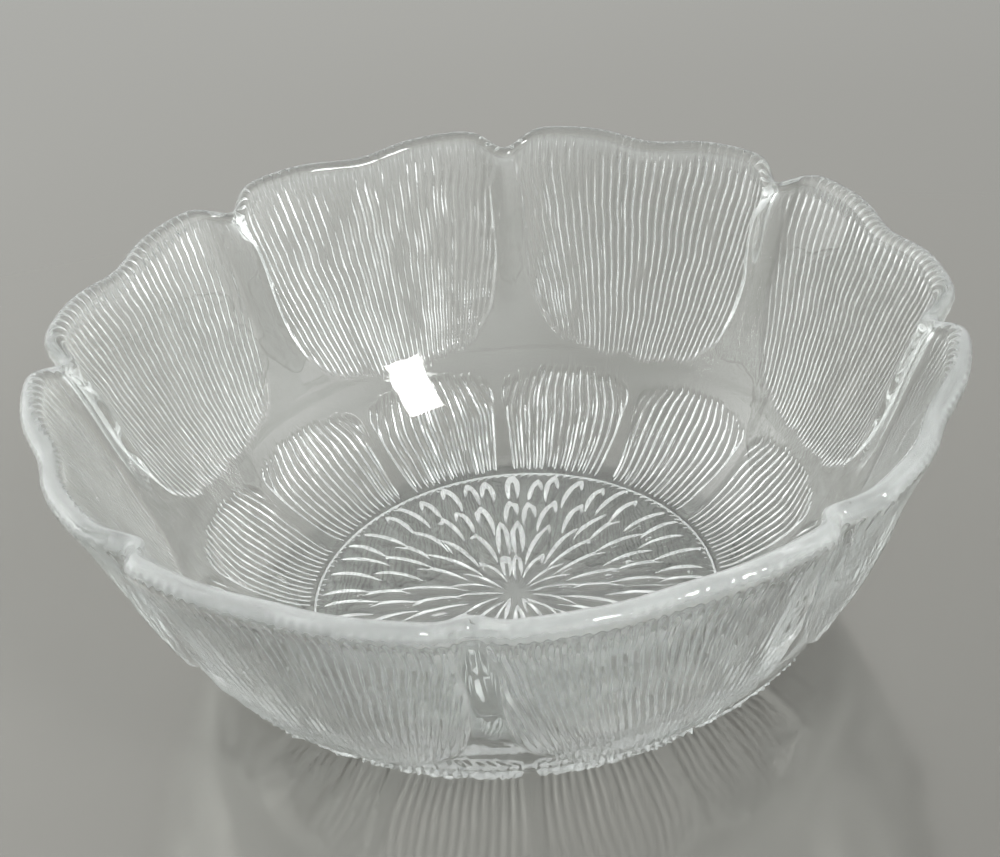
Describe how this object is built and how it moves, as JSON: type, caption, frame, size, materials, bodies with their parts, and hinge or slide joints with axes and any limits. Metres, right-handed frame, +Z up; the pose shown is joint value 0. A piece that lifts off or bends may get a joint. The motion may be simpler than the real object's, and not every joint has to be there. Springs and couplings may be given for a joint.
{
  "type": "pressed glass petal bowl",
  "caption": "Round clear pressed-glass serving bowl with a scalloped petal rim, ribbed outer wall and a starburst moulded under its flat floor.",
  "frame": {"origin": "centre of the resting face, on the table plane", "axes": "+Z up along the bowl's axis; +X and +Y each point at a notch between two petals of the rim"},
  "size_m": [0.12, 0.12, 0.0458],
  "materials": {
    "glass": "clear, polished, moulded ribs outside"
  },
  "bodies": {
    "root": {"bowl": "glass"}
  },
  "joints": []
}
